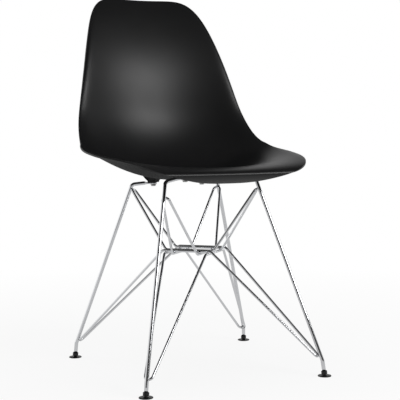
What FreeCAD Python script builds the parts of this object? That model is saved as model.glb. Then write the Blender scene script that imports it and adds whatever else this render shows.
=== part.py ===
import FreeCAD, Part
import math
import os

# Moulded plastic shell chair on a base of bent and welded wire, in millimetres.
# +Z is up, the sitter faces -Y, and the sitter's left is +X.
# The base is laid out about the middle of the four feet. Everything is then moved
# back so that the origin is on the floor under the middle of the chair's depth.
CHAIR_MIDDLE_Y = 50.6

# Shell. Each station along its centre line, from under the front lip to the top edge,
# is (y, z, half width, how far the sides rise above the centre line).
SHELL_STATIONS = [
    (-159.0, 397.0, 209.0, 0.0),
    (-209.0, 423.0, 234.0, 0.0),
    (-103.0, 439.0, 238.0, 24.0),
    (57.0, 393.0, 224.0, 76.0),
    (154.0, 405.0, 213.0, 82.0),
    (241.0, 524.0, 200.0, 55.0),
    (225.0, 674.0, 183.0, 34.0),
    (307.0, 819.0, 194.0, 33.0),
]
SHELL_THICKNESS = 4.0
# Powers that shape the shell: the sides' rise, and how square the outline's corners are
SIDE_RISE_POWER = 2.1
FRONT_CORNER_POWER = 3.0
TOP_CORNER_POWER = 5.6
SHELL_STEPS_ACROSS = 28
SHELL_STEPS_ALONG = 44
# How far the steps crowd towards the rim: 0 is even, 1 is a full cosine
EDGE_CROWDING = 0.5
# The rim rolls back from the sitter along the sides and the top, and fades out
# over this share of the shell's half length from the front edge, which turns down
RIM_ROLL = 6.0
ROLL_POWER_ACROSS = 11.0
ROLL_POWER_ALONG = 26.0
ROLL_FADE = 0.5

# Rods and wires
ROD_DIAMETER = 8.0
WIRE_DIAMETER = 5.5
WELD_GAP = 0.1

# Feet
FRONT_FOOT_X = 195.0
REAR_FOOT_X = 210.6
FOOT_HALF_DEPTH = 200.5

# Bends of the uprights: the lower one's height and how far it lies in from the foot,
# and the top one's place, counted from the seat mount: outwards, to the end and down
FRONT_LOWER_BEND_Z = 32.8
REAR_LOWER_BEND_Z = 33.4
FRONT_LOWER_BEND_IN_X = 3.2
REAR_LOWER_BEND_IN_X = 2.0
FRONT_LOWER_BEND_IN_Y = 2.8
REAR_LOWER_BEND_IN_Y = 4.0
FRONT_TOP_BEND_OUT = 44.0
REAR_TOP_BEND_OUT = 45.0
FRONT_TOP_BEND_TO_END = 1.6
REAR_TOP_BEND_TO_END = 13.0
FRONT_TOP_BEND_DROP = 5.0
REAR_TOP_BEND_DROP = 2.5
LOWER_BEND_RADIUS = 15.0
FRONT_TOP_BEND_RADIUS = 11.0
REAR_TOP_BEND_RADIUS = 10.0

# Seat mounts: where the four flattened rod ends are bolted under the shell
MOUNT_X = 58.0
FRONT_MOUNT_Y = -80.0
REAR_MOUNT_Y = 97.0
FRONT_MOUNT_Z = 406.0
REAR_MOUNT_Z = 391.0
EYE_WIDTH = 16.0
EYE_THICKNESS = 4.0
EYE_NECK = 12.5
EYE_FLARE_LENGTH = 9.0
BOLT_HOLE_CLEARANCE = 0.25

# Moulded bosses and their ribs
BOSS_BOTTOM_RADIUS = 12.5
BOSS_TAPER = 0.15
RIB_THICKNESS = 4.0
RIB_REACH = 12.0
# Where the ribs start, as a share of the boss's height
RIB_START = 0.15
BOSS_EMBED = 2.0

# Bolts, washers and threaded inserts
BOLT_DIAMETER = 6.0
BOLT_HEAD_DIAMETER = 11.0
BOLT_HEAD_HEIGHT = 3.6
BOLT_HEAD_ROUND = 1.4
HEX_ACROSS_FLATS = 4.0
HEX_DEPTH = 2.2
WASHER_DIAMETER = 14.0
WASHER_THICKNESS = 1.2
INSERT_DIAMETER = 9.0
INSERT_LENGTH = 9.0
THREAD_CLEARANCE = 0.05
BOLT_ENGAGEMENT = 8.0
INSERT_HOLE_EXTRA = 0.6

# Cross wires: each is one closed loop joining opposite corners of the base
RING_Y = 10.0
RING_Z = 251.6
RUN_HALF_LENGTH = 54.0
LOWER_RUN_HALF_GAP = 46.5
UPPER_RUN_HALF_GAP = 28.5
RING_BEND_RADIUS = 9.0
# The bend at each end of a loop rests on the inner side of its upright near this height
LOOP_END_RADIUS = 8.0
LOWER_END_Z = 30.0
FRONT_UPPER_END_Z = 387.0
REAR_UPPER_END_Z = 384.0
# How much lower the loop that starts at the front right is welded there
FRONT_UPPER_END_STEP = 12.0

# Self-levelling glides: a ball stud in the rod's end, a collar over it, and a pad
BALL_RADIUS = 2.5
BALL_HEIGHT = 3.4
BALL_CLEARANCE = 0.25
STUD_SHANK_DIAMETER = 3.0
STUD_SHANK_DEPTH = 12.0
STUD_BORE_EXTRA = 1.0
SHANK_CLEARANCE = 0.05
PAD_DIAMETER = 28.0
PAD_EDGE_THICKNESS = 2.0
PAD_EDGE_ROUND = 0.8
PAD_CONE_RISE = 0.6
CUP_WALL = 1.0
CUP_MOUTH_HEIGHT = 1.6
SKIRT_GAP = 0.3
COLLAR_DIAMETER = 12.0
COLLAR_TOP_DIAMETER = 11.5
COLLAR_BOTTOM = 1.4
COLLAR_FLOOR = 0.8
ROD_INSERTION = 1.6
COLLAR_LIP_DEPTH = 0.6
COLLAR_LIP_WIDTH = 0.9
ROD_CLEARANCE = 0.05

# Smallest length that counts when edges are picked
TINY = 0.01

V = FreeCAD.Vector
UP = V(0, 0, 1)
SIDES = {"left": 1.0, "right": -1.0}


def unit(vector):
    return V(vector).normalize()


def cylinder_between(start, end, radius):
    return Part.makeCylinder(radius, (end - start).Length, start, unit(end - start))


def bent_rod(points, bend_radii, diameter):
    """A round rod along straight runs joined by tangent arcs, with flat ends."""
    trims = [0.0] * len(points)
    for i in range(1, len(points) - 1):
        back = unit(points[i - 1] - points[i])
        ahead = unit(points[i + 1] - points[i])
        trims[i] = bend_radii[i] / math.tan(back.getAngle(ahead) / 2)
    direction = unit(points[1] - points[0])
    ring = Part.Circle(points[0], direction, diameter / 2).toShape()
    faces = [Part.Face(Part.Wire([ring]))]
    for i in range(len(points) - 1):
        direction = unit(points[i + 1] - points[i])
        run = (points[i + 1] - points[i]).Length - trims[i] - trims[i + 1]
        faces.append(ring.extrude(direction * run))
        ring = ring.translated(direction * run)
        if i + 2 < len(points):
            corner = points[i + 1]
            ahead = unit(points[i + 2] - corner)
            turn = direction.getAngle(ahead)
            reach = bend_radii[i + 1] / math.cos(turn / 2)
            centre = corner + unit(ahead - direction) * reach
            axis = unit(direction.cross(ahead))
            faces.append(ring.revolve(centre, axis, math.degrees(turn)))
            ring = ring.rotated(centre, axis, math.degrees(turn))
    faces.append(Part.Face(Part.Wire([ring])))
    shell = Part.makeShell(faces)
    shell.sewShape()
    solid = Part.makeSolid(shell)
    if solid.Volume < 0:
        solid.reverse()
    return solid


# Shell surface

def spline(poles):
    """A clamped cubic curve with evenly spaced knots from 0 to 1."""
    curve = Part.BSplineCurve()
    spans = len(poles) - 3
    knots = [i / spans for i in range(spans + 1)]
    mults = [4] + [1] * (spans - 1) + [4]
    curve.buildFromPolesMultsKnots(poles, mults, knots, False, 3)
    return curve


EDGE_CURVE = spline([V(width, y, z) for y, z, width, rise in SHELL_STATIONS])
RISE_CURVE = spline([V(rise, 0, 0) for y, z, width, rise in SHELL_STATIONS])


def outline(s, t):
    """Squeeze the square (s, t) into a plan with rounded corners."""
    blend = (t + 1) / 2
    blend = blend * blend * (3 - 2 * blend)
    power = FRONT_CORNER_POWER + (TOP_CORNER_POWER - FRONT_CORNER_POWER) * blend
    pull = 1 / (power + 1)
    return s * (1 - pull * abs(t) ** power), t * (1 - pull * abs(s) ** power)


def rim_roll(s, t):
    """How far the surface lies behind its plain form: nothing inside, all at the rim."""
    fade = min((t + 1) / ROLL_FADE, 1)
    fade = fade * fade * (3 - 2 * fade)
    side = fade * abs(s) ** ROLL_POWER_ACROSS
    top = max(t, 0) ** ROLL_POWER_ALONG
    return RIM_ROLL * (1 - (1 - side) * (1 - top))


def seat_point(a, b):
    """Point of the sitting surface: a across from -1 to 1, b along from -1 to 1."""
    along = (b + 1) / 2
    centre, tangent = EDGE_CURVE.getD1(along)
    tangent = unit(V(0, tangent.y, tangent.z))
    lift = RISE_CURVE.value(along).x * abs(a) ** SIDE_RISE_POWER
    return V(a * centre.x, centre.y - tangent.z * lift, centre.z + tangent.y * lift)


def seat_normal(a, b):
    """Unit normal of the sitting surface, pointing to the sitter."""
    step = 0.001
    across = seat_point(a + step, b) - seat_point(a - step, b)
    along = seat_point(a, min(b + step, 1)) - seat_point(a, max(b - step, -1))
    return unit(across.cross(along))


def under_point(x, y):
    """Point of the shell's underside and its outward normal at a place in plan."""
    low, high = -0.85, 0.35
    for _ in range(40):
        b = (low + high) / 2
        a = x / EDGE_CURVE.value((b + 1) / 2).x
        normal = seat_normal(a, b)
        point = seat_point(a, b) - normal * SHELL_THICKNESS
        if point.y < y:
            low = b
        else:
            high = b
    return point, normal * -1


def step_place(i, steps):
    """Where step i lies between -1 and 1, with the steps closer together at both ends."""
    even = 2 * i / steps - 1
    crowded = -math.cos(math.pi * i / steps)
    return even + EDGE_CROWDING * (crowded - even)


def shell_body():
    """Two smooth faces through points that lie closer together towards the rim."""
    rows_in, rows_out = [], []
    for i in range(SHELL_STEPS_ACROSS + 1):
        s = step_place(i, SHELL_STEPS_ACROSS)
        row_in, row_out = [], []
        for j in range(SHELL_STEPS_ALONG + 1):
            t = step_place(j, SHELL_STEPS_ALONG)
            a, b = outline(s, t)
            normal = seat_normal(a, b)
            point = seat_point(a, b) - normal * rim_roll(s, t)
            row_in.append(point)
            row_out.append(point - normal * SHELL_THICKNESS)
        rows_in.append(row_in)
        rows_out.append(row_out)
    inner, outer = Part.BSplineSurface(), Part.BSplineSurface()
    inner.interpolate(rows_in)
    outer.interpolate(rows_out)
    faces = [inner.toShape(), outer.toShape()]
    u0, u1, v0, v1 = inner.bounds()
    outer_u0, outer_u1, outer_v0, outer_v1 = outer.bounds()
    rim = [(inner.uIso(u0), outer.uIso(outer_u0)), (inner.uIso(u1), outer.uIso(outer_u1)),
           (inner.vIso(v0), outer.vIso(outer_v0)), (inner.vIso(v1), outer.vIso(outer_v1))]
    for inner_curve, outer_curve in rim:
        faces.append(Part.makeRuledSurface(inner_curve.toShape(), outer_curve.toShape()))
    shell = Part.makeShell(faces)
    shell.sewShape()
    solid = Part.makeSolid(shell)
    if solid.Volume < 0:
        solid.reverse()
    return solid


# Seat mounts

def mount_places():
    """The middle of each flattened rod end, with its side."""
    places = []
    for side in SIDES.values():
        places.append((V(side * MOUNT_X, FRONT_MOUNT_Y, FRONT_MOUNT_Z), side))
        places.append((V(side * MOUNT_X, REAR_MOUNT_Y, REAR_MOUNT_Z), side))
    return places


def boss(place, side):
    """A tapered boss with three ribs, from the rod's eye up into the shell's underside."""
    base = place + UP * (EYE_THICKNESS / 2)
    under, outward = under_point(place.x, place.y)
    foot = under.z - base.z
    # Both the boss and its ribs start out taller than the slant of the underside needs
    height = foot + BOSS_BOTTOM_RADIUS + RIB_REACH
    top_radius = BOSS_BOTTOM_RADIUS + BOSS_TAPER * height
    body = Part.makeCone(BOSS_BOTTOM_RADIUS, top_radius, height, base)
    reach = BOSS_BOTTOM_RADIUS + RIB_REACH
    half = RIB_THICKNESS / 2
    start = foot * RIB_START
    for angle in (0.0, 90.0, -90.0):
        corners = [V(0, -half, start), V(BOSS_BOTTOM_RADIUS, -half, start),
                   V(reach, -half, foot), V(reach, -half, height), V(0, -half, height)]
        rib = Part.Face(Part.makePolygon(corners + corners[:1])).extrude(V(0, RIB_THICKNESS, 0))
        rib.rotate(V(0, 0, 0), UP, angle + (0.0 if side > 0 else 180.0))
        rib.translate(base)
        body = body.fuse(rib)
    size = 6 * reach
    above = Part.makeBox(size, size, size, V(-size / 2, -size / 2, 0))
    seat = FreeCAD.Placement(under - outward * BOSS_EMBED, FreeCAD.Rotation(UP, outward * -1))
    above.transformShape(seat.toMatrix())
    return body.cut(above)


def seat_shell():
    shell = shell_body()
    for place, side in mount_places():
        shell = shell.fuse(boss(place, side))
        depth = INSERT_LENGTH + INSERT_HOLE_EXTRA
        hole = Part.makeCylinder(INSERT_DIAMETER / 2, depth, place + UP * (EYE_THICKNESS / 2))
        shell = shell.cut(hole)
    return shell


def mount_insert(place):
    bottom = place + UP * (EYE_THICKNESS / 2)
    body = Part.makeCylinder(INSERT_DIAMETER / 2, INSERT_LENGTH, bottom)
    return body.cut(Part.makeCylinder(BOLT_DIAMETER / 2 + THREAD_CLEARANCE, INSERT_LENGTH, bottom))


def mount_washer(place):
    bottom = place - UP * (EYE_THICKNESS / 2 + WASHER_THICKNESS)
    body = Part.makeCylinder(WASHER_DIAMETER / 2, WASHER_THICKNESS, bottom)
    hole = BOLT_DIAMETER / 2 + BOLT_HOLE_CLEARANCE
    return body.cut(Part.makeCylinder(hole, WASHER_THICKNESS, bottom))


def mount_bolt(place):
    """Round-headed bolt with a hexagon socket, head down."""
    seat = place - UP * (EYE_THICKNESS / 2 + WASHER_THICKNESS)
    head_bottom = seat - UP * BOLT_HEAD_HEIGHT
    head = Part.makeCylinder(BOLT_HEAD_DIAMETER / 2, BOLT_HEAD_HEIGHT, head_bottom)
    rim = [edge for edge in head.Edges
           if edge.BoundBox.ZLength < TINY and edge.CenterOfMass.z < head_bottom.z + TINY]
    head = head.makeFillet(BOLT_HEAD_ROUND, rim)
    radius = HEX_ACROSS_FLATS / math.sqrt(3)
    corners = [head_bottom + V(radius * math.cos(math.radians(60 * k)),
                               radius * math.sin(math.radians(60 * k)), 0) for k in range(7)]
    socket = Part.Face(Part.makePolygon(corners)).extrude(UP * HEX_DEPTH)
    length = WASHER_THICKNESS + EYE_THICKNESS + BOLT_ENGAGEMENT
    return head.cut(socket).fuse(Part.makeCylinder(BOLT_DIAMETER / 2, length, seat))


# Uprights

def upright_points(end, side):
    """Ball centre, lower bend, top bend and mount of one upright."""
    if end == "front":
        ball = V(FRONT_FOOT_X * side, -FOOT_HALF_DEPTH, BALL_HEIGHT)
        bend_in = V(-FRONT_LOWER_BEND_IN_X * side, FRONT_LOWER_BEND_IN_Y, 0)
        bend_z = FRONT_LOWER_BEND_Z
        mount = V(side * MOUNT_X, FRONT_MOUNT_Y, FRONT_MOUNT_Z)
        from_mount = V(FRONT_TOP_BEND_OUT * side, -FRONT_TOP_BEND_TO_END, -FRONT_TOP_BEND_DROP)
    else:
        ball = V(REAR_FOOT_X * side, FOOT_HALF_DEPTH, BALL_HEIGHT)
        bend_in = V(-REAR_LOWER_BEND_IN_X * side, -REAR_LOWER_BEND_IN_Y, 0)
        bend_z = REAR_LOWER_BEND_Z
        mount = V(side * MOUNT_X, REAR_MOUNT_Y, REAR_MOUNT_Z)
        from_mount = V(REAR_TOP_BEND_OUT * side, REAR_TOP_BEND_TO_END, -REAR_TOP_BEND_DROP)
    lower = ball + bend_in + UP * (bend_z - BALL_HEIGHT)
    return ball, lower, mount + from_mount, mount


def rod_start_height():
    """Distance of the rod's lower end from the ball's centre, along the stub."""
    return BALL_RADIUS + BALL_CLEARANCE + CUP_WALL + SKIRT_GAP + COLLAR_FLOOR


def upright(end, side):
    ball, lower, top, mount = upright_points(end, side)
    stub = unit(lower - ball)
    inward = unit(V(mount.x - top.x, mount.y - top.y, 0))
    neck = mount - inward * EYE_NECK
    rod_end = neck - inward * EYE_FLARE_LENGTH
    start = ball + stub * rod_start_height()
    top_radius = FRONT_TOP_BEND_RADIUS if end == "front" else REAR_TOP_BEND_RADIUS
    rod = bent_rod([start, lower, top, rod_end], [0, LOWER_BEND_RADIUS, top_radius, 0], ROD_DIAMETER)
    run = unit(rod_end - top)
    across = UP.cross(inward)
    round_end = Part.Wire([Part.Circle(rod_end, run, ROD_DIAMETER / 2).toShape()])
    flat = Part.Ellipse(neck + across * (EYE_WIDTH / 2), neck + UP * (EYE_THICKNESS / 2), neck)
    flare = Part.makeLoft([round_end, Part.Wire([flat.toShape()])], True, True)
    plate = Part.makeBox(EYE_NECK, EYE_WIDTH, EYE_THICKNESS, V(0, -EYE_WIDTH / 2, -EYE_THICKNESS / 2))
    plate.rotate(V(0, 0, 0), UP, math.degrees(math.atan2(inward.y, inward.x)))
    plate.translate(neck)
    eye = Part.makeCylinder(EYE_WIDTH / 2, EYE_THICKNESS, mount - UP * (EYE_THICKNESS / 2))
    body = rod.fuse([flare, plate, eye])
    hole = BOLT_DIAMETER / 2 + BOLT_HOLE_CLEARANCE
    body = body.cut(Part.makeCylinder(hole, 3 * EYE_THICKNESS, mount - UP * (1.5 * EYE_THICKNESS)))
    socket_end = start + stub * (STUD_SHANK_DEPTH + STUD_BORE_EXTRA)
    bore = cylinder_between(start - stub, socket_end, STUD_SHANK_DIAMETER / 2 + SHANK_CLEARANCE)
    return body.cut(bore).removeSplitter()


# Cross wires

def loop_end(corner_a, corner_b, upright_line, end_z):
    """Corner where the two legs of a wire meet, so that the bend between them just
    touches the inner side of an upright near the given height."""
    ball, low, high = upright_line
    foot, head = (low, high) if end_z > low.z else (ball, low)
    on_axis = foot + (head - foot) * ((end_z - foot.z) / (head.z - foot.z))
    out = unit(on_axis - (corner_a + corner_b) * 0.5)
    side = corner_b - corner_a
    side = unit(side - out * side.dot(out))
    touch = (ROD_DIAMETER + WIRE_DIAMETER) / 2 + WELD_GAP
    inwards = 0.0
    for foot, head in ((ball, low), (low, high)):
        square = unit((head - foot).cross(side))
        square = square * math.copysign(1, square.dot(out))
        inwards = max(inwards, (touch - (foot - on_axis).dot(square)) / square.dot(out))
    radius = LOOP_END_RADIUS
    centre = on_axis - out * (inwards + radius)
    lines = []
    for corner, sign in ((corner_a, -1.0), (corner_b, 1.0)):
        x, y = (corner - centre).dot(out), (corner - centre).dot(side)
        heading = math.atan2(-y, -x) + sign * math.asin(radius / math.hypot(x, y))
        lines.append((x, y, math.cos(heading), math.sin(heading)))
    (xa, ya, ca, sa), (xb, yb, cb, sb) = lines
    reach = ((xb - xa) * sb - (yb - ya) * cb) / (ca * sb - sa * cb)
    return centre + out * (xa + ca * reach) + side * (ya + sa * reach)


def cross_wire(level, side):
    """One closed loop from the front upright on this side to the opposite rear one.
    The loops that start at the right run one wire below the others."""
    front_ball, front_lower, front_top, _ = upright_points("front", side)
    rear_ball, rear_lower, rear_top, _ = upright_points("rear", -side)
    along = unit(V(front_ball.x - rear_ball.x, front_ball.y - rear_ball.y, 0))
    across = V(-along.y, along.x, 0)
    lowered = 0.0 if side > 0 else 1.0
    middle = V(0, RING_Y, RING_Z - lowered * (WIRE_DIAMETER + WELD_GAP))
    half_gap = LOWER_RUN_HALF_GAP if level == "lower" else UPPER_RUN_HALF_GAP
    front_a = middle + along * RUN_HALF_LENGTH - across * half_gap
    front_b = middle + along * RUN_HALF_LENGTH + across * half_gap
    rear_a = middle - along * RUN_HALF_LENGTH - across * half_gap
    rear_b = middle - along * RUN_HALF_LENGTH + across * half_gap
    if level == "lower":
        front_z = rear_z = LOWER_END_Z - lowered * (WIRE_DIAMETER + WELD_GAP)
    else:
        front_z, rear_z = FRONT_UPPER_END_Z - lowered * FRONT_UPPER_END_STEP, REAR_UPPER_END_Z
    front_end = loop_end(front_a, front_b, (front_ball, front_lower, front_top), front_z)
    rear_end = loop_end(rear_a, rear_b, (rear_ball, rear_lower, rear_top), rear_z)
    bends = [0, RING_BEND_RADIUS, LOOP_END_RADIUS, RING_BEND_RADIUS, 0]
    start, finish = (front_a + rear_a) * 0.5, (front_b + rear_b) * 0.5
    front_half = bent_rod([start, front_a, front_end, front_b, finish], bends, WIRE_DIAMETER)
    rear_half = bent_rod([start, rear_a, rear_end, rear_b, finish], bends, WIRE_DIAMETER)
    return front_half.fuse(rear_half).removeSplitter()


# Glides

def turned(profile, base, axis):
    """A solid of revolution: profile points are (radius, height) along the axis."""
    points = [V(radius, 0, height) for radius, height in profile]
    face = Part.Face(Part.makePolygon(points + points[:1]))
    body = face.revolve(V(0, 0, 0), UP, 360)
    body = Part.makeSolid(body.Shells[0]) if body.ShapeType != "Solid" else body
    body.Placement = FreeCAD.Placement(base, FreeCAD.Rotation(UP, axis))
    return body


def ball_stud(end, side):
    ball, lower, _, _ = upright_points(end, side)
    stub = unit(lower - ball)
    tip = ball + stub * (rod_start_height() + STUD_SHANK_DEPTH)
    return Part.makeSphere(BALL_RADIUS, ball).fuse(cylinder_between(ball, tip, STUD_SHANK_DIAMETER / 2))


def glide_collar(end, side):
    """Black sleeve pushed over the rod's end, hollowed below to clear the pad's cup."""
    ball, lower, _, _ = upright_points(end, side)
    stub = unit(lower - ball)
    rod_end = rod_start_height()
    top = rod_end + ROD_INSERTION
    bore = ROD_DIAMETER / 2 + ROD_CLEARANCE
    outer, outer_top = COLLAR_DIAMETER / 2, COLLAR_TOP_DIAMETER / 2
    profile = [(0, COLLAR_BOTTOM), (outer, COLLAR_BOTTOM), (outer_top, top),
               (bore + COLLAR_LIP_WIDTH, top), (bore + COLLAR_LIP_WIDTH, top - COLLAR_LIP_DEPTH),
               (bore, top - COLLAR_LIP_DEPTH), (bore, rod_end), (0, rod_end)]
    body = turned(profile, ball, stub)
    hollow = BALL_RADIUS + BALL_CLEARANCE + CUP_WALL + SKIRT_GAP
    body = body.cut(Part.makeSphere(hollow, ball))
    shank = STUD_SHANK_DIAMETER / 2 + SHANK_CLEARANCE
    return body.cut(cylinder_between(ball, ball + stub * top, shank))


def glide_pad(end, side):
    """Level foot pad: a flat disc with a domed cup that snaps over the ball."""
    ball = upright_points(end, side)[0]
    cup = BALL_RADIUS + BALL_CLEARANCE
    dome = cup + CUP_WALL
    edge, rim = PAD_DIAMETER / 2, PAD_EDGE_THICKNESS
    disc = turned([(0, 0), (edge, 0), (edge, rim), (dome, rim + PAD_CONE_RISE),
                   (0, rim + PAD_CONE_RISE)], V(ball.x, ball.y, 0), UP)
    rims = [e for e in disc.Edges if abs(e.BoundBox.XLength - PAD_DIAMETER) < TINY]
    disc = disc.makeFillet(PAD_EDGE_ROUND, rims)
    cap = Part.makeSphere(dome, ball)
    keep = Part.makeCylinder(dome + 1, CUP_MOUTH_HEIGHT + BALL_HEIGHT, V(ball.x, ball.y, 0))
    return disc.fuse(cap.common(keep)).cut(Part.makeSphere(cup, ball))


def build():
    nodes = {"seat_shell": [seat_shell()]}
    places = [place for place, _ in mount_places()]
    nodes["mount_inserts"] = [mount_insert(place) for place in places]
    nodes["mount_washers"] = [mount_washer(place) for place in places]
    nodes["mount_bolts"] = [mount_bolt(place) for place in places]
    nodes["ball_studs"] = []
    for side_name, side in SIDES.items():
        nodes["lower_cross_wire_" + side_name] = [cross_wire("lower", side)]
        nodes["upper_cross_wire_" + side_name] = [cross_wire("upper", side)]
        for end in ("front", "rear"):
            corner = end + "_" + side_name
            nodes["upright_" + corner] = [upright(end, side)]
            nodes["glide_collar_" + corner] = [glide_collar(end, side)]
            nodes["glide_pad_" + corner] = [glide_pad(end, side)]
            nodes["ball_studs"].append(ball_stud(end, side))
    return nodes


os.makedirs("parts", exist_ok=True)
for node, solids in build().items():
    shape = Part.makeCompound(solids) if len(solids) > 1 else solids[0]
    shape.translate(V(0, -CHAIR_MIDDLE_Y, 0))
    shape.exportStep("parts/" + node + ".step")
    print(node, len(shape.Solids), shape.isValid(), round(shape.Volume, 1), shape.BoundBox)
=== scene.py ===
import math

import bmesh
import bpy
import numpy as np
from mathutils import Matrix, Vector


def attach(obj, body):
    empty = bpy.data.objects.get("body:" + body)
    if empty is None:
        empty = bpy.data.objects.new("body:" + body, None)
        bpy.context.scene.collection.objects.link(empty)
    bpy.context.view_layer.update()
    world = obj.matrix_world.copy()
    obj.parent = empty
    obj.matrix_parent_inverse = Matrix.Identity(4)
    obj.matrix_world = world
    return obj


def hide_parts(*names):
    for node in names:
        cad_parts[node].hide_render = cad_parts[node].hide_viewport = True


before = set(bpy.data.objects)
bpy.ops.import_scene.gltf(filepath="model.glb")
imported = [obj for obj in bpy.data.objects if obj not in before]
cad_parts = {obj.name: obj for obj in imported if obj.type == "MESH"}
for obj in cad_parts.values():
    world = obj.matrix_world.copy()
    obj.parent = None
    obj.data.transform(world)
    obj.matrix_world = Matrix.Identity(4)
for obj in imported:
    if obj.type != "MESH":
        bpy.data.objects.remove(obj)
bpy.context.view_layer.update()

# Seat shell. One injection moulding in black polypropylene, 4 mm thick, seat and back
# together. Its front edge turns down, its sides rise, and its rim rolls back all round.
# The mould's fine grain takes the shine off it, and use has polished it in patches.
CHAIR_MIDDLE_Y = 50.6
STATIONS = np.array([
    (-159.0, 397.0, 209.0, 0.0), (-209.0, 423.0, 234.0, 0.0),
    (-103.0, 439.0, 238.0, 24.0), (57.0, 393.0, 224.0, 76.0),
    (154.0, 405.0, 213.0, 82.0), (241.0, 524.0, 200.0, 55.0),
    (225.0, 674.0, 183.0, 34.0), (307.0, 819.0, 194.0, 33.0),
])
SHELL_THICKNESS = 4.0
SIDE_RISE_POWER = 2.1
FRONT_CORNER_POWER = 3.0
TOP_CORNER_POWER = 5.8
SIDE_ROLL = 6.5
TOP_ROLL = 6.0
ROLL_POWER_ACROSS = 19.0
ROLL_POWER_ALONG = 26.0
ROLL_FADE = 0.5
RIM_ROUND = 1.7
RIM_SQUARENESS = 2.6


def spline_shares(u, count):
    """Share of each of count stations at u, by the cubic B-spline's own recursion on
    even knots from 0 to 1 with four at each end."""
    knots = np.concatenate([np.zeros(3), np.linspace(0, 1, count - 2), np.ones(3)])
    u = np.clip(u, 0, 1 - 1e-9)[..., None]
    shares = ((knots[:-1] <= u) & (u < knots[1:])).astype(float)
    for degree in range(1, 4):
        left, right = knots[:-degree - 1], knots[degree + 1:]
        low = np.maximum(knots[degree:-1] - left, 1e-12)
        high = np.maximum(right - knots[1:-degree], 1e-12)
        rising = (u - left) / low * shares[..., :-1]
        falling = (right - u) / high * shares[..., 1:]
        shares = rising + falling
    return shares


def plain_seat(a, b):
    """Point a across and b along, each from -1 to 1: the centre line's spline, moved
    sideways by a half width and square to the line by the sides' rise times |a|^power."""
    u = (b + 1) / 2
    y, z, width, rise = np.moveaxis(spline_shares(u, len(STATIONS)) @ STATIONS, -1, 0)
    step = 1e-4
    ahead = spline_shares(np.clip(u + step, 0, 1), len(STATIONS)) @ STATIONS[:, :2]
    behind = spline_shares(np.clip(u - step, 0, 1), len(STATIONS)) @ STATIONS[:, :2]
    run = ahead - behind
    run /= np.linalg.norm(run, axis=-1, keepdims=True)
    lift = rise * np.abs(a) ** SIDE_RISE_POWER
    return np.stack([a * width, y - run[..., 1] * lift, z + run[..., 0] * lift], -1)


def seat_sheet(s, t):
    """Sitting surface and its normal over the square (s, t). The square is squeezed to
    the plan's rounded corners, and the rim is pushed back along the normal by s and t
    to high powers, so that it rolls."""
    blend = (t + 1) / 2
    blend = blend * blend * (3 - 2 * blend)
    power = FRONT_CORNER_POWER + (TOP_CORNER_POWER - FRONT_CORNER_POWER) * blend
    pull = 1 / (power + 1)
    a = s * (1 - pull * np.abs(t) ** power)
    b = t * (1 - pull * np.abs(s) ** power)
    step = 0.001
    across = plain_seat(a + step, b) - plain_seat(a - step, b)
    along = plain_seat(a, np.minimum(b + step, 1)) - plain_seat(a, np.maximum(b - step, -1))
    normal = np.cross(across, along)
    normal /= np.linalg.norm(normal, axis=-1, keepdims=True)
    fade = np.minimum((t + 1) / ROLL_FADE, 1)
    side = fade * fade * (3 - 2 * fade) * np.abs(s) ** ROLL_POWER_ACROSS
    top = np.maximum(t, 0) ** ROLL_POWER_ALONG
    roll = SIDE_ROLL * side + TOP_ROLL * top * (1 - side)
    return plain_seat(a, b) - normal * roll[..., None], normal


def grid_faces(rows, columns, first=0, close_rows=False, close_columns=False):
    """Quads between neighbours of a grid of vertices numbered row by row."""
    i = np.arange(rows if close_rows else rows - 1)[:, None]
    j = np.arange(columns if close_columns else columns - 1)[None, :]
    i2, j2 = (i + 1) % rows, (j + 1) % columns
    quads = [i * columns + j, i2 * columns + j, i2 * columns + j2, i * columns + j2]
    return first + np.stack([q.ravel() for q in quads], -1)


def make_piece(name, points, faces, body, replaced=()):
    """A smooth closed mesh from points in millimetres about the feet, facing outwards."""
    mesh = bpy.data.meshes.new(name)
    points = (np.asarray(points).reshape(-1, 3) - (0, CHAIR_MIDDLE_Y, 0)) / 1000
    mesh.from_pydata(points.tolist(), [], [list(map(int, face)) for face in faces])
    work = bmesh.new()
    work.from_mesh(mesh)
    bmesh.ops.remove_doubles(work, verts=work.verts, dist=1e-7)
    bmesh.ops.recalc_face_normals(work, faces=work.faces)
    work.to_mesh(mesh)
    work.free()
    mesh.shade_smooth()
    piece = bpy.data.objects.new(name, mesh)
    bpy.context.scene.collection.objects.link(piece)
    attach(piece, body)
    if replaced:
        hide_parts(*replaced)
    return piece


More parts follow.
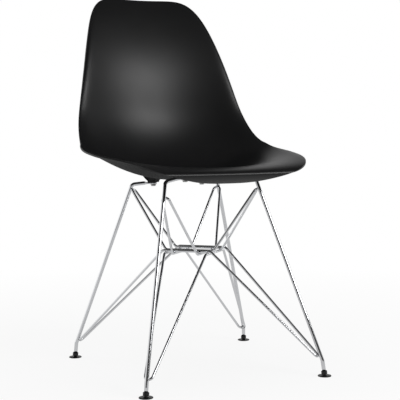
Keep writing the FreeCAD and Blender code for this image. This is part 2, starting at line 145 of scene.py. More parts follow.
def shell_mesh(across=120, along=250, round_steps=8):
    """Two sheets, the second one thickness behind the first, and a rounded rim: round the
    edge the section is |cos|^p of half the thickness and |sin|^p of the rounding."""
    s, t = np.meshgrid(np.linspace(-1, 1, across + 1), np.linspace(-1, 1, along + 1),
                       indexing="ij")
    front, normal = seat_sheet(s, t)
    back = front - normal * SHELL_THICKNESS
    loop_i = np.concatenate([np.arange(across), np.full(along, across),
                             np.arange(across, 0, -1), np.zeros(along, int)])
    loop_j = np.concatenate([np.zeros(across, int), np.arange(along),
                             np.full(across, along), np.arange(along, 0, -1)])
    inside_i = np.clip(loop_i, 1, across - 1)
    inside_j = np.clip(loop_j, 1, along - 1)
    edge, edge_back = front[loop_i, loop_j], back[loop_i, loop_j]
    out = edge - front[inside_i, inside_j]
    out /= np.linalg.norm(out, axis=-1, keepdims=True)
    middle, half = (edge + edge_back) / 2, (edge - edge_back) / 2
    front[loop_i, loop_j] = edge - out * RIM_ROUND
    back[loop_i, loop_j] = edge_back - out * RIM_ROUND
    angle = np.linspace(0, math.pi, round_steps + 1)[1:-1, None, None]
    through = np.sign(np.cos(angle)) * np.abs(np.cos(angle)) ** (2 / RIM_SQUARENESS)
    reach = np.sin(angle) ** (2 / RIM_SQUARENESS)
    rim = middle + half * through + out * (RIM_ROUND * (reach - 1))
    count = front.shape[0] * front.shape[1]
    points = np.concatenate([front.reshape(-1, 3), back.reshape(-1, 3), rim.reshape(-1, 3)])
    columns = along + 1
    loop = loop_i * columns + loop_j
    rings = [loop] + [2 * count + k * len(loop) + np.arange(len(loop))
                      for k in range(round_steps - 1)] + [count + loop]
    faces = [grid_faces(across + 1, columns), grid_faces(across + 1, columns, count)]
    for low, high in zip(rings[:-1], rings[1:]):
        faces.append(np.stack([low, np.roll(low, -1), np.roll(high, -1), high], -1))
    underside = np.repeat((0.0, 1.0, 0.0), (count, count, len(points) - 2 * count))
    return points, np.concatenate(faces), back, underside


class Graph:
    """The nodes of one material or world, made and joined by plain expressions."""

    def __init__(self, owner):
        self.owner = owner
        owner.use_nodes = True
        self.tree = owner.node_tree
        self.tree.nodes.clear()

    def make(self, kind, settings=None, output=0, **inputs):
        """A node of the given type, its settings first, then its sockets by name."""
        node = self.tree.nodes.new("ShaderNode" + kind)
        for key, value in (settings or {}).items():
            setattr(node, key, value)
        for key, value in inputs.items():
            name = key.replace("_", " ")
            spot = [q for q in node.inputs if q.name == name and q.enabled][0]
            self.join(value, spot)
        return Socket(self, node.outputs[output]) if node.outputs else None

    def join(self, value, spot):
        """Links a socket to a node's input, or sets the input to a plain value."""
        if isinstance(value, Socket):
            self.tree.links.new(value.socket, spot)
        else:
            spot.default_value = value

    def maths(self, operation, *values):
        """A Math node on one or two numbers."""
        node = self.tree.nodes.new("ShaderNodeMath")
        node.operation = operation
        for value, spot in zip(values, node.inputs):
            self.join(value, spot)
        return Socket(self, node.outputs[0])

    def blend(self, share, first, second):
        """Colour between two colours."""
        node = self.tree.nodes.new("ShaderNodeMix")
        node.data_type = "RGBA"
        self.join(share, node.inputs[0])
        self.join(first, node.inputs[6])
        self.join(second, node.inputs[7])
        return Socket(self, node.outputs[2])

    def place(self, **mapping):
        """Object coordinates, stretched or turned by a Mapping node."""
        spot = Socket(self, self.tree.nodes.new("ShaderNodeTexCoord").outputs["Object"])
        return self.make("Mapping", Vector=spot, **mapping) if mapping else spot

    def ray(self, kind):
        """1 for one kind of ray, such as the camera's, and 0 for the others."""
        return Socket(self, self.tree.nodes.new("ShaderNodeLightPath").outputs[kind])

    def noise(self, where, scale, detail=2.0, roughness=0.5):
        """Cloudy noise about 0.5, with this many waves to the metre."""
        return self.make("TexNoise", Vector=where, Scale=scale, Detail=detail,
                         Roughness=roughness)

    def bump(self, height, distance, strength=1.0):
        """A normal that rises and falls with a height, by a distance in metres."""
        return self.make("Bump", Height=height, Distance=distance, Strength=strength)

    def surface(self, **inputs):
        """The finished surface, through a Principled shader."""
        shader = self.make("BsdfPrincipled", **inputs)
        return self.finish(shader, "OutputMaterial")

    def finish(self, shader, kind):
        """Joins the last shader to the output, and gives back the material or world."""
        self.make(kind, Surface=shader)
        return self.owner


class Socket:
    """A number on its way through a material; arithmetic on it adds Math nodes."""

    def __init__(self, graph, socket):
        self.graph, self.socket = graph, socket

    def __add__(self, other):
        return self.graph.maths("ADD", self, other)

    def __rsub__(self, other):
        return self.graph.maths("SUBTRACT", other, self)

    def __mul__(self, other):
        return self.graph.maths("MULTIPLY", self, other)

    def between(self, low, high):
        """0 below low, 1 above high, and even between them."""
        return self.graph.make("MapRange", {"clamp": True}, Value=self, From_Min=low,
                               From_Max=high, To_Min=0.0, To_Max=1.0)

    __radd__, __rmul__ = __add__, __mul__


def shell_plastic():
    """Black moulded plastic: a grain of half a millimetre, slow waves in the skin, and
    patches where hands and clothes have polished it. The underside keeps the coarser
    finish of its half of the mould."""
    g = Graph(bpy.data.materials.new("shell_plastic"))
    here = g.place()
    grain = g.noise(here, 1900.0, 3.0, 0.6)
    waves = g.noise(here, 14.0)
    patches = g.noise(here, 7.0, 4.0, 0.6).between(0.35, 0.7)
    specks = g.noise(here, 420.0, 2.0, 0.7).between(0.62, 0.8)
    colour = g.blend(patches * 0.5 + specks * 0.25, (0.0040, 0.0040, 0.0044, 1),
                     (0.0070, 0.0070, 0.0074, 1))
    coarse = g.make("Attribute", {"attribute_name": "underside"}, output=2)
    rough = 0.36 + patches * 0.03 + grain * 0.05 + coarse * 0.38
    skin = g.bump(grain, 0.00003, 0.35)
    skin = g.make("Bump", Height=waves, Distance=0.0006, Strength=0.25, Normal=skin)
    return g.surface(Base_Color=colour, Roughness=rough, Normal=skin, Specular_IOR_Level=0.5)


shell_points, shell_faces, under_sheet, shell_underside = shell_mesh()
SHELL_PLASTIC = shell_plastic()
shell = make_piece("seat_shell_skin", shell_points, shell_faces, "chair",
                   ["seat_shell"])
shell.data.materials.append(SHELL_PLASTIC)
coarse = shell.data.attributes.new("underside", "FLOAT", "POINT")
coarse.data.foreach_set("value", shell_underside)

# Bosses. Four short posts moulded under the seat, each with three ribs that spread the
# sitter's weight into the skin. The base is bolted up into them.
MOUNT_X = 58.0
MOUNTS = {"front": (-80.0, 406.0), "rear": (97.0, 391.0)}
EYE_THICKNESS = 4.0
BOSS_BOTTOM_RADIUS = 12.5
BOSS_TAPER = 0.15
BOSS_FILLET = 5.0
RIB_THICKNESS = 4.0
RIB_REACH = 12.0
RIB_START = 0.15
RIB_ROOT_RADIUS = 3.0
RIB_EDGE_ROUND = 0.6
RIB_STEPS = 20
RIB_SECTION_STEPS = 9
BOSS_EMBED = 2.0
BOSS_SIDES = 48
BOSS_STEPS = 17
BOSS_FOOT_CHAMFER = 0.6
INSERT_RADIUS = 4.5
INSERT_DEPTH = 9.6
UNDERSIDE_REACH = 45.0
BACK_BEGINS_Z = 480.0


def underside_near(x, y):
    """Height of the shell's underside about a place, as a least-squares quadratic in x
    and y through the sheet's points near it."""
    away = np.hypot(under_sheet[..., 0] - x, under_sheet[..., 1] - y)
    near = under_sheet[(away < UNDERSIDE_REACH) & (under_sheet[..., 2] < BACK_BEGINS_Z)]
    terms = lambda p, q: np.stack([p * 0 + 1, p, q, p * p, p * q, q * q], -1)
    shares = np.linalg.lstsq(terms(near[:, 0] - x, near[:, 1] - y), near[:, 2], rcond=None)[0]
    return lambda px, py: terms(px - x, py - y) @ shares


def boss_points(x, y, z, side):
    """A post whose radius grows with height and flares in a quarter round where it meets
    the underside, hollow for the insert, and three ribs with rounded lower edges."""
    height_at = underside_near(x, y)
    angle = np.linspace(0, 2 * math.pi, BOSS_SIDES + 1)[:-1]
    share = np.linspace(0, 1, BOSS_STEPS)
    bottom = z + EYE_THICKNESS / 2
    neck = BOSS_BOTTOM_RADIUS + 0.5
    top = height_at(x + neck * np.cos(angle), y + neck * np.sin(angle)) + BOSS_EMBED
    height = bottom + (top - bottom)[:, None] * share
    drop = np.clip(1 - ((top - BOSS_EMBED)[:, None] - height) / BOSS_FILLET, 0, 1)
    radius = (BOSS_BOTTOM_RADIUS + BOSS_TAPER * (height - bottom)
              + BOSS_FILLET * (1 - np.sqrt(1 - drop ** 2)))
    radius[:, 0] -= BOSS_FOOT_CHAMFER
    height[:, 1] = bottom + BOSS_FOOT_CHAMFER
    outer = np.stack([x + radius * np.cos(angle)[:, None],
                      y + radius * np.sin(angle)[:, None], height], -1)
    bore = np.array([(0.0, INSERT_DEPTH), (INSERT_RADIUS, INSERT_DEPTH), (INSERT_RADIUS, 0.0)])
    inner = np.stack([x + bore[:, 0] * np.cos(angle)[:, None],
                      y + bore[:, 0] * np.sin(angle)[:, None],
                      np.broadcast_to(bottom + bore[:, 1], (BOSS_SIDES, 3))], -1)
    cap = np.broadcast_to(np.array([x, y, top.mean()]), (BOSS_SIDES, 1, 3))
    ring = np.concatenate([inner, outer, cap], 1)
    points = [ring.reshape(-1, 3)]
    faces = [grid_faces(BOSS_SIDES, ring.shape[1], close_rows=True)]
    start = len(points[0])
    loop = 2 * RIB_SECTION_STEPS
    for turn in (0.0, 90.0, -90.0):
        heading = math.radians(turn + (0 if side > 0 else 180))
        ahead = np.array([math.cos(heading), math.sin(heading)])
        out = np.linspace(RIB_ROOT_RADIUS, BOSS_BOTTOM_RADIUS + RIB_REACH, RIB_STEPS)
        px, py = x + ahead[0] * out, y + ahead[1] * out
        skin = height_at(px, py)
        slant = np.clip((out - BOSS_BOTTOM_RADIUS) / RIB_REACH, 0, 1)
        low = bottom + (skin - bottom) * (RIB_START + (1 - RIB_START) * slant)
        across = np.linspace(-1, 1, RIB_SECTION_STEPS)
        lift = 1 - np.sqrt(np.clip(1 - across ** 2, 0, 1))
        half = RIB_THICKNESS / 2
        edge_z = np.minimum(low[:, None] + lift * half * RIB_EDGE_ROUND,
                            skin[:, None] + BOSS_EMBED)
        back_z = np.broadcast_to((skin + BOSS_EMBED)[:, None], edge_z.shape)
        z_loop = np.concatenate([edge_z, back_z[:, ::-1]], 1)
        a_loop = np.concatenate([across, across[::-1]]) * half
        rib = np.stack([px[:, None] - ahead[1] * a_loop, py[:, None] + ahead[0] * a_loop,
                        z_loop], -1)
        points.append(rib.reshape(-1, 3))
        faces.append(grid_faces(RIB_STEPS, loop, start, close_columns=True))
        ends = start + np.array([np.arange(loop), (RIB_STEPS - 1) * loop + np.arange(loop)])
        faces.append(np.array([(end[k], end[k + 1], end[loop - 2 - k], end[loop - 1 - k])
                               for end in ends for k in range(RIB_SECTION_STEPS - 1)]))
        start += RIB_STEPS * loop
    return points, faces


points, faces, start = [], [], 0
for y, z in MOUNTS.values():
    for side in (1, -1):
        boss, boss_faces = boss_points(side * MOUNT_X, y, z, side)
        points += boss
        faces += [start + q for q in boss_faces]
        start += sum(len(q) for q in boss)
bosses = make_piece("mount_bosses", np.concatenate(points), np.concatenate(faces), "chair")
bosses.data.materials.append(SHELL_PLASTIC)
coarse = bosses.data.attributes.new("underside", "FLOAT", "POINT")
coarse.data.foreach_set("value", np.ones(len(bosses.data.vertices)))

# Uprights. Four bent steel rods, 8 mm thick and chromium plated, from the feet up to the
# seat. The top of each is hammered flat and punched into an eye for its bolt.
ROD_RADIUS = 4.0
WIRE_RADIUS = 2.75
FOOT_HALF_DEPTH = 200.5
FOOT_X = {"front": 195.0, "rear": 210.6}
LOWER_BEND = {"front": (3.2, 2.8, 32.8), "rear": (2.0, 4.0, 33.4)}
TOP_BEND = {"front": (44.0, 1.6, 5.0), "rear": (45.0, 13.0, 2.5)}
TOP_BEND_RADIUS = {"front": 11.0, "rear": 10.0}
LOWER_BEND_RADIUS = 15.0
BALL_HEIGHT = 3.4
ROD_START = 4.85
EYE_HALF_WIDTH = 8.0
EYE_NECK = 12.5
EYE_FLARE_LENGTH = 9.0
EYE_SQUARENESS = 5.0
ROD_SIDES = 28
RUN_POINT_SPACING = 12.0


def unit(vector):
    """The same direction, one long."""
    return vector / np.linalg.norm(vector)


def upright_line(end, side):
    """Ball, lower bend, top bend and mount of one upright."""
    toward = -1 if end == "front" else 1
    ball = np.array([FOOT_X[end] * side, toward * FOOT_HALF_DEPTH, BALL_HEIGHT])
    in_x, in_y, height = LOWER_BEND[end]
    lower = np.array([ball[0] - in_x * side, ball[1] - toward * in_y, height])
    mount = np.array([MOUNT_X * side, MOUNTS[end][0], MOUNTS[end][1]])
    out, to_end, drop = TOP_BEND[end]
    top = mount + (out * side, toward * to_end, -drop)
    return ball, lower, top, mount


def bent_path(corners, radii, closed=False):
    """Points and headings along straight runs joined by tangent arcs: the arc's centre
    lies on the corner's bisector, at the radius over the sine of half the opening."""
    corners = [np.asarray(c, float) for c in corners]
    count = len(corners)
    path, heading = [], []
    for k, corner in enumerate(corners):
        if not closed and k in (0, count - 1):
            path.append(corner[None])
            other = corners[1] - corner if k == 0 else corner - corners[-2]
            heading.append(unit(other)[None])
            continue
        back, ahead = corners[k - 1] - corner, corners[(k + 1) % count] - corner
        back, ahead = unit(back), unit(ahead)
        opening = math.acos(np.clip(back @ ahead, -1, 1))
        centre = corner + unit(back + ahead) * radii[k] / math.sin(opening / 2)
        first = unit(corner + back * radii[k] / math.tan(opening / 2) - centre)
        steps = max(4, int(math.degrees(math.pi - opening) / 5))
        turn = np.linspace(0, math.pi - opening, steps + 1)[:, None]
        path.append(centre + radii[k] * (np.cos(turn) * first - np.sin(turn) * back))
        heading.append(-np.cos(turn) * back - np.sin(turn) * first)
    return np.concatenate(path), np.concatenate(heading)


def with_run_points(path, heading, spacing):
    """The same line with points added evenly on each straight run."""
    points, headings = [path[:1]], [heading[:1]]
    for k in range(1, len(path)):
        extra = int(np.linalg.norm(path[k] - path[k - 1]) / spacing)
        share = np.linspace(0, 1, extra + 2)[1:, None]
        points.append(path[k - 1] + (path[k] - path[k - 1]) * share)
        headings.append(np.repeat(heading[k][None], extra + 1, 0))
        headings[-1][:-1] = heading[k - 1] if extra else headings[-1][:-1]
    return np.concatenate(points), np.concatenate(headings)


def swept(path, heading, across, half_width, half_height, square=2.0, around=ROD_SIDES):
    """Carries a rounded section along a path: |cos|^(2/n) of the half width along
    'across' and |sin|^(2/n) of the half height square to it."""
    rise = np.cross(heading, across)
    rise /= np.linalg.norm(rise, axis=-1, keepdims=True)
    angle = np.linspace(0, 2 * math.pi, around + 1)[:-1]
    power = (2 / np.broadcast_to(square, len(path)))[:, None]
    wide = np.sign(np.cos(angle)) * np.abs(np.cos(angle)) ** power
    high = np.sign(np.sin(angle)) * np.abs(np.sin(angle)) ** power
    wide = wide * np.broadcast_to(half_width, len(path))[:, None]
    high = high * np.broadcast_to(half_height, len(path))[:, None]
    return path[:, None] + wide[..., None] * across[:, None] + high[..., None] * rise[:, None]


def capped(rings):
    """Adds a middle point before the first and after the last ring, which close it."""
    first = np.broadcast_to(rings[0].mean(0), rings[:1].shape)
    last = np.broadcast_to(rings[-1].mean(0), rings[:1].shape)
    return np.concatenate([first, rings, last])


def chrome():
    """Bright chromium: almost a mirror, with wiped streaks and faint pits where the rod
    under the plate was drawn. Low down it is darker, as painted contact shade near the
    floor, and a little rougher."""
    g = Graph(bpy.data.materials.new("chromed_wire"))
    here = g.place()
    smears = g.noise(g.place(Scale=(1.0, 1.0, 0.35)), 60.0, 4.0, 0.6).between(0.4, 0.75)
    pits = g.noise(here, 1500.0, 2.0, 0.6).between(0.55, 0.75)
    height = g.make("SeparateXYZ", Vector=here, output=2)
    # Painted shade: the chrome is darker in its lowest 12 cm by the floor, standing in for
    # contact shade, and a little rougher there.
    low_shade_and_dulling = 1 - height.between(0.0, 0.12)
    colour = g.blend(smears * 0.35 + low_shade_and_dulling * 0.2, (0.82, 0.83, 0.85, 1), (0.70, 0.70, 0.71, 1))
    rough = 0.055 + smears * 0.05 + pits * 0.05 + low_shade_and_dulling * 0.03
    skin = g.bump(g.noise(here, 900.0, 2.0), 0.00001, 0.3)
    return g.surface(Base_Color=colour, Metallic=1.0, Roughness=rough, Normal=skin)


CHROME = chrome()
CORNERS = [(end, side_name, side) for side_name, side in (("left", 1), ("right", -1))
           for end in ("front", "rear")]
for end, side_name, side in CORNERS:
    ball, lower, top, mount = upright_line(end, side)
    inward = unit(np.array([mount[0] - top[0], mount[1] - top[1], 0]))
    rod_end = mount - inward * (EYE_NECK + EYE_FLARE_LENGTH)
    start = ball + unit(lower - ball) * ROD_START
    path, heading = bent_path([start, lower, top, rod_end],
                              [0, LOWER_BEND_RADIUS, TOP_BEND_RADIUS[end], 0])
    path, heading = with_run_points(path, heading, RUN_POINT_SPACING)
    flare = np.linspace(0, 1, 9)[1:]
    ease = flare * flare * (3 - 2 * flare)
    tip = EYE_HALF_WIDTH * np.sin(np.linspace(0, math.pi / 2, 13)[1:])
    run = np.concatenate([EYE_FLARE_LENGTH * flare,
                          [EYE_FLARE_LENGTH + EYE_NECK * 0.5, EYE_FLARE_LENGTH + EYE_NECK],
                          EYE_FLARE_LENGTH + EYE_NECK + tip])
    path = np.concatenate([path, rod_end + inward * run[:, None]])
    heading = np.concatenate([heading, np.repeat(inward[None], len(run), 0)])
    rods = len(path) - len(run)
    width = np.concatenate([np.full(rods, ROD_RADIUS),
                            ROD_RADIUS + (EYE_HALF_WIDTH - ROD_RADIUS) * ease,
                            [EYE_HALF_WIDTH] * 2,
                            np.sqrt(np.maximum(EYE_HALF_WIDTH ** 2 - tip ** 2, 0.01))])
    high = np.concatenate([np.full(rods, ROD_RADIUS),
                           ROD_RADIUS + (EYE_THICKNESS / 2 - ROD_RADIUS) * ease,
                           [EYE_THICKNESS / 2] * 2, np.full(len(tip), EYE_THICKNESS / 2)])
    square = np.concatenate([np.full(rods, 2.0), 2 + (EYE_SQUARENESS - 2) * ease,
                             np.full(2 + len(tip), EYE_SQUARENESS)])
    across = np.repeat(np.cross((0, 0, 1), inward)[None], len(path), 0)
    across -= heading * (across * heading).sum(-1, keepdims=True)
    across /= np.linalg.norm(across, axis=-1, keepdims=True)
    rings = capped(swept(path, heading, across, width, high, square))
    rod = make_piece("upright_rod_%s_%s" % (end, side_name), rings,
                     grid_faces(len(rings), ROD_SIDES, close_columns=True), "chair",
                     ["upright_%s_%s" % (end, side_name)])
    rod.data.materials.append(CHROME)

# Cross wires. Four closed loops of 5.5 mm wire, chromed with the uprights. Each is bent
# to rest inside a front upright and the opposite rear one and is welded there, two just
# above the feet and two just below the seat, and all four cross in the middle.
WELD_GAP = 0.1
RING_Y = 10.0
RING_Z = 251.6
RUN_HALF_LENGTH = 54.0
RUN_HALF_GAP = {"lower": 46.5, "upper": 28.5}
RING_BEND_RADIUS = 9.0
LOOP_END_RADIUS = 8.0
LOWER_END_Z = 30.0
UPPER_END_Z = {"front": 387.0, "rear": 384.0}
UPPER_END_STEP = {"front": 12.0, "rear": 0.0}
WIRE_SIDES = 22
BEAD_HALF_SIZE = (5.2, 3.1, 2.3)
BEAD_LUMPS = 0.06
BEAD_PAST_WIRE = 0.4
BEAD_RINGS = 13
BEAD_SIDES = 24


def loop_end(corner_a, corner_b, upright, end_z):
    """Corner of the two legs whose bend rests inside an upright. The bend's circle is
    drawn in until its line is a rod and a wire radius off both of the upright's runs,
    and each leg heads for its centre, turned by the arc sine of radius over distance."""
    ball, low, high = upright
    foot, head = (low, high) if end_z > low[2] else (ball, low)
    on_axis = foot + (head - foot) * ((end_z - foot[2]) / (head[2] - foot[2]))
    out = unit(on_axis - (corner_a + corner_b) / 2)
    side = corner_b - corner_a
    side = unit(side - out * (side @ out))
    inwards = 0.0
    for foot, head in ((ball, low), (low, high)):
        square = unit(np.cross(head - foot, side))
        square = square * np.sign(square @ out)
        reach = ROD_RADIUS + WIRE_RADIUS + WELD_GAP - (foot - on_axis) @ square
        inwards = max(inwards, reach / (square @ out))
    centre = on_axis - out * (inwards + LOOP_END_RADIUS)
    lines = []
    for corner, sign in ((corner_a, -1), (corner_b, 1)):
        x, y = (corner - centre) @ out, (corner - centre) @ side
        heading = math.atan2(-y, -x) + sign * math.asin(LOOP_END_RADIUS / math.hypot(x, y))
        lines.append((x, y, math.cos(heading), math.sin(heading)))
    (xa, ya, ca, sa), (xb, yb, cb, sb) = lines
    reach = ((xb - xa) * sb - (yb - ya) * cb) / (ca * sb - sa * cb)
    apex = on_axis - out * inwards
    return centre + out * (xa + ca * reach) + side * (ya + sa * reach), apex, out, side


def carried_across(heading):
    """A direction square to each heading, carried along so that it turns least, and then
    turned back evenly so that it meets itself round a closed line."""
    across = [unit(np.cross(heading[0], (0.31, 0.17, 0.93)))]
    for h in list(heading[1:]) + [heading[0]]:
        across.append(unit(across[-1] - h * (across[-1] @ h)))
    first, last = across[0], across[-1]
    twist = math.atan2(np.cross(last, first) @ heading[0], last @ first)
    across = np.array(across[:-1])
    turn = np.linspace(0, twist, len(across), endpoint=False)[:, None]
    return across * np.cos(turn) + np.cross(heading, across) * np.sin(turn)


def weld_bead(apex, out, side, upright):
    """A flattened ball of weld metal in the groove between wire and rod, wider along the
    wire, lumpy by two waves round it."""
    runs = [(upright[1], upright[0]), (upright[1], upright[2])]
    nearest = [foot + unit(head - foot) * max((apex - foot) @ unit(head - foot), 0)
               for foot, head in runs]
    core = min(nearest, key=lambda q: np.linalg.norm(q - apex))
    through = unit(core - apex)
    along = unit(np.cross(side, through))
    turn = np.linspace(0, math.pi, BEAD_RINGS)[:, None]
    round_it = np.linspace(0, 2 * math.pi, BEAD_SIDES + 1)[:-1]
    lump = 1 + BEAD_LUMPS * np.sin(3 * round_it + 1) * np.sin(2 * turn)
    middle = apex + through * (WIRE_RADIUS + BEAD_PAST_WIRE)
    length, width, depth = BEAD_HALF_SIZE
    return (middle + (length * lump * np.cos(turn))[..., None] * side
            + (width * lump * np.sin(turn) * np.cos(round_it))[..., None] * along
            + (depth * lump * np.sin(turn) * np.sin(round_it))[..., None] * through)


beads = []
for side_name, side in (("left", 1), ("right", -1)):
    front_upright, rear_upright = upright_line("front", side)[:3], upright_line("rear", -side)[:3]
    along = unit((front_upright[0] - rear_upright[0]) * (1, 1, 0))
    across = np.array([-along[1], along[0], 0])
    lowered = 0 if side > 0 else 1
    drop = lowered * (2 * WIRE_RADIUS + WELD_GAP)
    middle = np.array([0, RING_Y, RING_Z - drop])
    for level in ("lower", "upper"):
        gap, run = across * RUN_HALF_GAP[level], along * RUN_HALF_LENGTH
        front_a, front_b = middle + run - gap, middle + run + gap
        rear_a, rear_b = middle - run - gap, middle - run + gap
        front_z = rear_z = LOWER_END_Z - drop
        if level == "upper":
            front_z = UPPER_END_Z["front"] - lowered * UPPER_END_STEP["front"]
            rear_z = UPPER_END_Z["rear"] - lowered * UPPER_END_STEP["rear"]
        front_end, *front_weld = loop_end(front_a, front_b, front_upright, front_z)
        rear_end, *rear_weld = loop_end(rear_a, rear_b, rear_upright, rear_z)
        beads.append(weld_bead(*front_weld, front_upright))
        beads.append(weld_bead(*rear_weld, rear_upright))
        bends = [RING_BEND_RADIUS, LOOP_END_RADIUS, RING_BEND_RADIUS] * 2
        path, heading = bent_path([front_a, front_end, front_b, rear_b, rear_end, rear_a],
                                  bends, closed=True)
        path, heading = np.append(path, path[:1], 0), np.append(heading, heading[:1], 0)
        path, heading = with_run_points(path, heading, RUN_POINT_SPACING)
        path, heading = path[:-1], heading[:-1]
        rings = swept(path, heading, carried_across(heading), WIRE_RADIUS, WIRE_RADIUS,
                      around=WIRE_SIDES)
        faces = grid_faces(len(rings), WIRE_SIDES, close_rows=True, close_columns=True)
        wire = make_piece("%s_loop_%s" % (level, side_name), rings, faces, "chair",
                          ["%s_cross_wire_%s" % (level, side_name)])
        wire.data.materials.append(CHROME)
bead_faces = [grid_faces(BEAD_RINGS, BEAD_SIDES, BEAD_RINGS * BEAD_SIDES * k,
                         close_columns=True) for k in range(len(beads))]
welds = make_piece("weld_beads", np.array(beads), np.concatenate(bead_faces), "chair")
welds.data.materials.append(CHROME)

# Seat fixings. A round-headed socket bolt and a plain washer hold each eye up against
# its boss, and the bolt's thread bites in a brass insert. Bolt and washer are zinc plated.
BOLT_PROFILE = [(0.0, 2.2, 0), (1.9, 2.2, 1), (2.0, 2.1, 1), (2.1, 0.35, 1), (2.45, 0.02, 0),
                (3.4, 0.0, 0), (4.2, 0.12, 0), (4.85, 0.5, 0), (5.25, 1.0, 0), (5.45, 1.6, 0),
                (5.5, 2.2, 0), (5.5, 3.25, 0), (5.4, 3.5, 0), (5.15, 3.6, 0), (3.0, 3.6, 0),
                (3.0, 16.0, 0), (2.4, 16.8, 0), (0.0, 16.8, 0)]
WASHER_PROFILE = [(3.25, 0.2), (3.45, 0.0), (6.7, 0.0), (6.95, 0.15), (7.0, 0.4), (7.0, 0.9),
                  (6.9, 1.15), (6.7, 1.2), (3.45, 1.2), (3.25, 1.0), (3.25, 0.2)]
WASHER_THICKNESS = 1.2
BOLT_HEAD_HEIGHT = 3.6
TURNED_SIDES = 48


def turned(profile, base, axis=(0, 0, 1)):
    """A profile of (radius, height) carried round an axis. A third number near 1 pulls
    the radius to a hexagon's, cos 30 over the cosine of the angle from its flat."""
    profile = np.array([tuple(p) + (0,) * (3 - len(p)) for p in profile], float)
    angle = np.linspace(0, 2 * math.pi, TURNED_SIDES + 1)[:-1, None]
    flat = (angle + math.pi / 6) % (math.pi / 3) - math.pi / 6
    radius = profile[:, 0] * (1 + profile[:, 2] * (1 / np.cos(flat) - 1))
    axis = unit(np.array(axis, float))
    first = unit(np.cross((0.0, 1.0, 0.0), axis))
    second = np.cross(axis, first)
    return (np.asarray(base) + radius[..., None] * (np.cos(angle)[..., None] * first
            + np.sin(angle)[..., None] * second) + profile[:, 1][:, None] * axis)


def zinc():
    """Bright zinc plate, spangled and a little dull."""
    g = Graph(bpy.data.materials.new("hardware_steel"))
    here = g.place()
    cells = g.make("TexVoronoi", Vector=here, Scale=900.0)
    cloud = g.noise(here, 300.0, 3.0)
    colour = g.blend(cloud, (0.46, 0.46, 0.45, 1), (0.68, 0.68, 0.67, 1))
    rough = 0.24 + cloud * 0.14 + cells * 0.1
    return g.surface(Base_Color=colour, Metallic=1.0, Roughness=rough,
                     Normal=g.bump(cells, 0.00002, 0.4))


ZINC = zinc()
for name, profile, head, node in (("bolt_set", BOLT_PROFILE, BOLT_HEAD_HEIGHT, "mount_bolts"),
                                  ("washer_set", WASHER_PROFILE, 0.0, "mount_washers")):
    points, faces, start = [], [], 0
    for y, z in MOUNTS.values():
        for side in (1, -1):
            base = z - EYE_THICKNESS / 2 - WASHER_THICKNESS - head
            ring = turned(profile, (side * MOUNT_X, y, base))
            points.append(ring.reshape(-1, 3))
            faces.append(grid_faces(TURNED_SIDES, len(profile), start, close_rows=True))
            start += len(points[-1])
    piece = make_piece(name, np.concatenate(points), np.concatenate(faces), "chair",
                       [node])
    piece.data.materials.append(ZINC)


def brass():
    """Turned brass with fine rings left by the tool, and a few dull spots."""
    g = Graph(bpy.data.materials.new("insert_brass"))
    here = g.place()
    rings = g.make("TexWave", {"bands_direction": "Z"}, Vector=here, Scale=900.0, Distortion=0.4)
    spots = g.noise(here, 260.0, 3.0).between(0.5, 0.8)
    colour = g.blend(spots, (0.72, 0.52, 0.22, 1), (0.50, 0.36, 0.17, 1))
    return g.surface(Base_Color=colour, Metallic=1.0, Roughness=0.28 + spots * 0.15,
                     Normal=g.bump(rings, 0.00003, 0.5))


for node, material in (("mount_inserts", brass()), ("ball_studs", ZINC)):
    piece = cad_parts[node]
    piece.data.materials.clear()
    piece.data.materials.append(material)

# Glides. Under each foot a black nylon collar is pushed over the rod, and a round nylon
# pad snaps on the ball below it, so that the pad lies flat however the rod leans.
COLLAR_PROFILE = [(1.55, 4.85), (1.55, 3.74), (3.8, 1.4), (4.0, 1.4), (5.7, 1.4), (5.92, 1.52),
                  (6.0, 1.8), (6.1, 2.8), (6.1, 7.2), (6.0, 7.6), (5.75, 7.8), (5.3, 7.82),
                  (5.1, 7.75), (5.0, 7.35), (4.85, 7.28), (4.15, 7.28), (4.06, 7.2),
                  (4.05, 4.95), (3.95, 4.85), (1.55, 4.85)]
PAD_PROFILE = [(0.0, 0.0), (12.6, 0.0), (13.2, 0.04), (13.65, 0.22), (13.92, 0.52),
               (14.0, 0.9), (13.95, 1.4), (13.7, 1.78), (13.3, 1.98), (12.6, 2.06),
               (9.0, 2.28), (6.0, 2.45), (4.6, 2.55), (4.05, 2.75), (3.82, 3.1), (3.72, 3.7),
               (3.6, 4.3), (3.42, 4.78), (3.25, 4.95), (3.0, 5.0), (2.5, 5.0), (2.32, 4.92),
               (2.4, 4.6), (2.72, 3.8), (2.7, 2.9), (2.3, 1.9), (1.5, 1.1), (0.7, 0.75),
               (0.0, 0.66)]


def nylon():
    """Black nylon, scuffed grey where the pad drags over floors."""
    g = Graph(bpy.data.materials.new("glide_plastic"))
    here = g.place()
    height = g.make("SeparateXYZ", Vector=here, output=2)
    scuffs = g.noise(g.place(Scale=(1.0, 1.0, 4.0)), 420.0, 4.0, 0.65).between(0.5, 0.75)
    low = 1 - height.between(0.0005, 0.003)
    colour = g.blend(scuffs * low * 0.6, (0.006, 0.006, 0.0065, 1), (0.045, 0.043, 0.040, 1))
    rough = 0.42 + scuffs * 0.12
    return g.surface(Base_Color=colour, Roughness=rough,
                     Normal=g.bump(g.noise(here, 2400.0, 3.0), 0.00003, 0.4))


NYLON = nylon()
for end, side_name, side in CORNERS:
    corner = "%s_%s" % (end, side_name)
    ball, lower = upright_line(end, side)[:2]
    collar = make_piece("collar_" + corner, turned(COLLAR_PROFILE, ball, lower - ball),
                        grid_faces(TURNED_SIDES, len(COLLAR_PROFILE), close_rows=True),
                        "chair", ["glide_collar_" + corner])
    pad = make_piece("pad_disc_" + corner, turned(PAD_PROFILE, (ball[0], ball[1], 0)),
                     grid_faces(TURNED_SIDES, len(PAD_PROFILE), close_rows=True),
                     "pad_" + corner, ["glide_pad_" + corner])
    collar.data.materials.append(NYLON)
    pad.data.materials.append(NYLON)

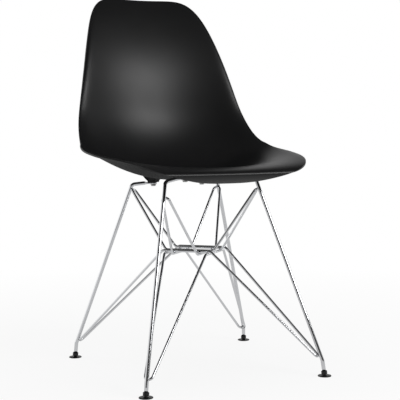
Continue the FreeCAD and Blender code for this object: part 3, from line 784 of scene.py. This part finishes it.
# Floor. White paint that takes the chair's shadow. The camera sees it nearly white, and
# wholly white further out. The chrome sees it light grey, and dark towards the camera.
FLOOR_HALF = 9.0
FLOOR_PAINT = 0.88
WHITE_SHARE = 0.86
WHITENS_OVER = (0.5, 1.6)
DARK_LEVEL = 0.06
FLOOR_IN_CHROME = 0.60
LIGHTENS_OVER = (-1.9, -0.7)
floor_mesh = bpy.data.meshes.new("studio_floor")
floor_mesh.from_pydata([(-FLOOR_HALF, -FLOOR_HALF, 0), (FLOOR_HALF, -FLOOR_HALF, 0),
                        (FLOOR_HALF, FLOOR_HALF, 0), (-FLOOR_HALF, FLOOR_HALF, 0)], [],
                       [(0, 1, 2, 3)])
floor = bpy.data.objects.new("studio_floor", floor_mesh)
bpy.context.scene.collection.objects.link(floor)
g = Graph(bpy.data.materials.new("studio_floor"))
seen = g.ray("Is Camera Ray")
mirrored = g.maths("MAXIMUM", g.ray("Is Glossy Ray"), g.ray("Is Transmission Ray"))
ground = g.place()
outward = g.make("VectorMath", {"operation": "LENGTH"}, output=1, Vector=ground)
forward = g.make("SeparateXYZ", Vector=ground, output=1)
whiter = WHITE_SHARE + outward.between(*WHITENS_OVER) * (1 - WHITE_SHARE)
sweep = DARK_LEVEL + forward.between(*LIGHTENS_OVER) * (FLOOR_IN_CHROME - DARK_LEVEL)
paint = g.make("BsdfDiffuse", Color=(FLOOR_PAINT, FLOOR_PAINT, FLOOR_PAINT, 1))
glow = g.make("Emission", Color=(1, 1, 1, 1), Strength=seen + mirrored * sweep)
mixed = g.make("MixShader", Fac=seen * whiter + mirrored)
mix_node = mixed.socket.node
g.tree.links.new(paint.socket, mix_node.inputs[1])
g.tree.links.new(glow.socket, mix_node.inputs[2])
floor_mesh.materials.append(g.finish(mixed, "OutputMaterial"))

# Studio. The room is white behind the chair and to its sides, and dark behind the camera
# and overhead, which draws the dark and bright lines along the chrome. One large soft box
# stands to the camera's right, and one that nothing mirrors hangs overhead.
ROOM_WHITENS_OVER = (-0.60, 0.05)
ROOM_DARKENS_UP = (0.20, 0.62)
FILL_LEVEL = 0.45
g = Graph(bpy.data.worlds.new("studio"))
seen = g.ray("Is Camera Ray")
mirrored = g.maths("MAXIMUM", g.ray("Is Glossy Ray"), g.ray("Is Transmission Ray"))
way = Socket(g, g.tree.nodes.new("ShaderNodeTexCoord").outputs["Generated"])
back = g.make("SeparateXYZ", Vector=way, output=1)
up = g.make("SeparateXYZ", Vector=way, output=2)
low_room = 1 - up.between(*ROOM_DARKENS_UP)
room = DARK_LEVEL + back.between(*ROOM_WHITENS_OVER) * low_room * (1 - DARK_LEVEL)
level = seen + (1 - seen) * (mirrored * room + (1 - mirrored) * FILL_LEVEL)
sky = g.make("Background", Color=(1, 1, 1, 1), Strength=level)
bpy.context.scene.world = g.finish(sky, "OutputWorld")


def soft_box(name, place, target, size, power, mirrored=True):
    """A rectangular lamp that faces its target, in metres and watts. It can be kept out
    of reflections."""
    lamp = bpy.data.lights.new(name, "AREA")
    lamp.shape = "RECTANGLE"
    lamp.size, lamp.size_y = size
    lamp.energy = power
    holder = bpy.data.objects.new(name, lamp)
    holder.visible_glossy = mirrored
    holder.location = place
    way = Vector(target) - Vector(place)
    holder.rotation_euler = way.to_track_quat("-Z", "Y").to_euler()
    bpy.context.scene.collection.objects.link(holder)


soft_box("right_soft_box", place=(1.45, -2.50, 1.74), target=(0, 0.15, 0.58),
         size=(1.35, 1.25), power=36.0)
soft_box("top_soft_box", place=(0.0, 0.3, 3.0), target=(0, 0, 0.4), size=(2.4, 2.4),
         power=24.0, mirrored=False)

# Camera. Where the photograph was taken from: in front and to the sitter's right, a
# little above the seat, with a long lens and a slight roll.
camera = bpy.data.cameras.new("camera")
camera.lens, camera.sensor_width = 90.0, 36.0
eye = bpy.data.objects.new("camera", camera)
AZIMUTH, ELEVATION, ROLL = math.radians(-24.01), math.radians(3.563), math.radians(0.6)
DISTANCE = 2.1029
TARGET = np.array([0.0, -0.02255 - CHAIR_MIDDLE_Y / 1000, 0.35779])
ahead = np.array([-math.sin(AZIMUTH) * math.cos(ELEVATION),
                  math.cos(AZIMUTH) * math.cos(ELEVATION), -math.sin(ELEVATION)])
right = unit(np.cross(ahead, (0, 0, 1)))
top = np.cross(right, ahead)
turned_right = right * math.cos(ROLL) - top * math.sin(ROLL)
turned_top = top * math.cos(ROLL) + right * math.sin(ROLL)
spot = TARGET - ahead * DISTANCE
eye.matrix_world = Matrix([[turned_right[k], turned_top[k], -ahead[k], spot[k]] for k in range(3)]
                          + [[0, 0, 0, 1]])
bpy.context.scene.collection.objects.link(eye)
bpy.context.scene.camera = eye
bpy.context.scene.view_settings.view_transform = "Standard"
